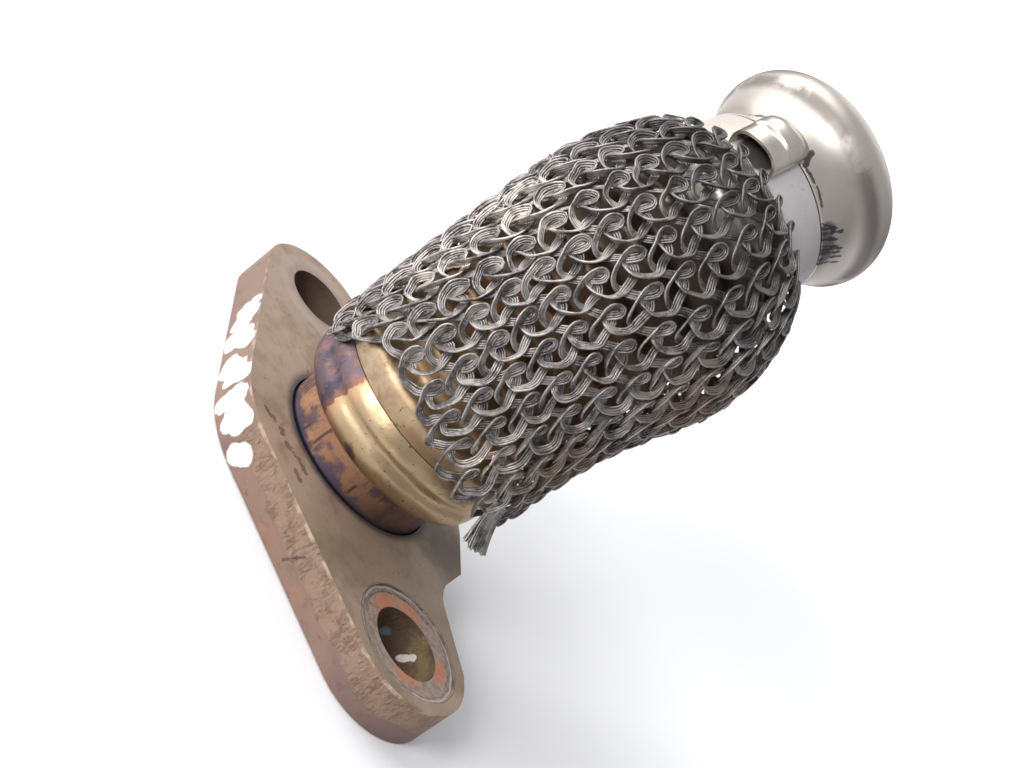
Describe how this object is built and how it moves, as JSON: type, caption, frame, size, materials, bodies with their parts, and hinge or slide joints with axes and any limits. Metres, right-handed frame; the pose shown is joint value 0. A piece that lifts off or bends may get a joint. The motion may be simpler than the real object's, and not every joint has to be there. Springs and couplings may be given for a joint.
{
  "type": "flanged exhaust gas hose",
  "caption": "Flexible exhaust gas hose: a bolt-on plate, a neck, a bent bellows in a knitted wire sleeve and a flared outlet.",
  "frame": {"origin": "the middle of the part's box, on the plane of the plate's sealing face", "axes": "+Z leaves the plate along the neck, away from the sealing face; X runs through both bolt holes, with the relieved flank's ear on +X; the hose bends towards +Y and a little to -X"},
  "size_m": [0.0828, 0.061, 0.0859],
  "materials": {
    "plate_steel": "heat tinted, worn",
    "tinted_steel": "heat tinted purple and brown",
    "weld_steel": "weld bead",
    "golden_steel": "straw-coloured heat tint, polished",
    "liner_steel": "smooth",
    "tube_steel": "matte",
    "bright_steel": "polished",
    "wire_steel": "dark knitted wire"
  },
  "bodies": {
    "root": {"flange": "plate_steel", "neck_tube": "tinted_steel", "seal_weld": "weld_steel", "bellows_cuff": "golden_steel", "bellows": "golden_steel", "gas_liner": "liner_steel", "outlet_tube": "tube_steel", "outlet_band": "golden_steel", "flared_cup": "bright_steel", "locating_lug": "tube_steel", "knitted_sleeve": "wire_steel"}
  },
  "joints": []
}
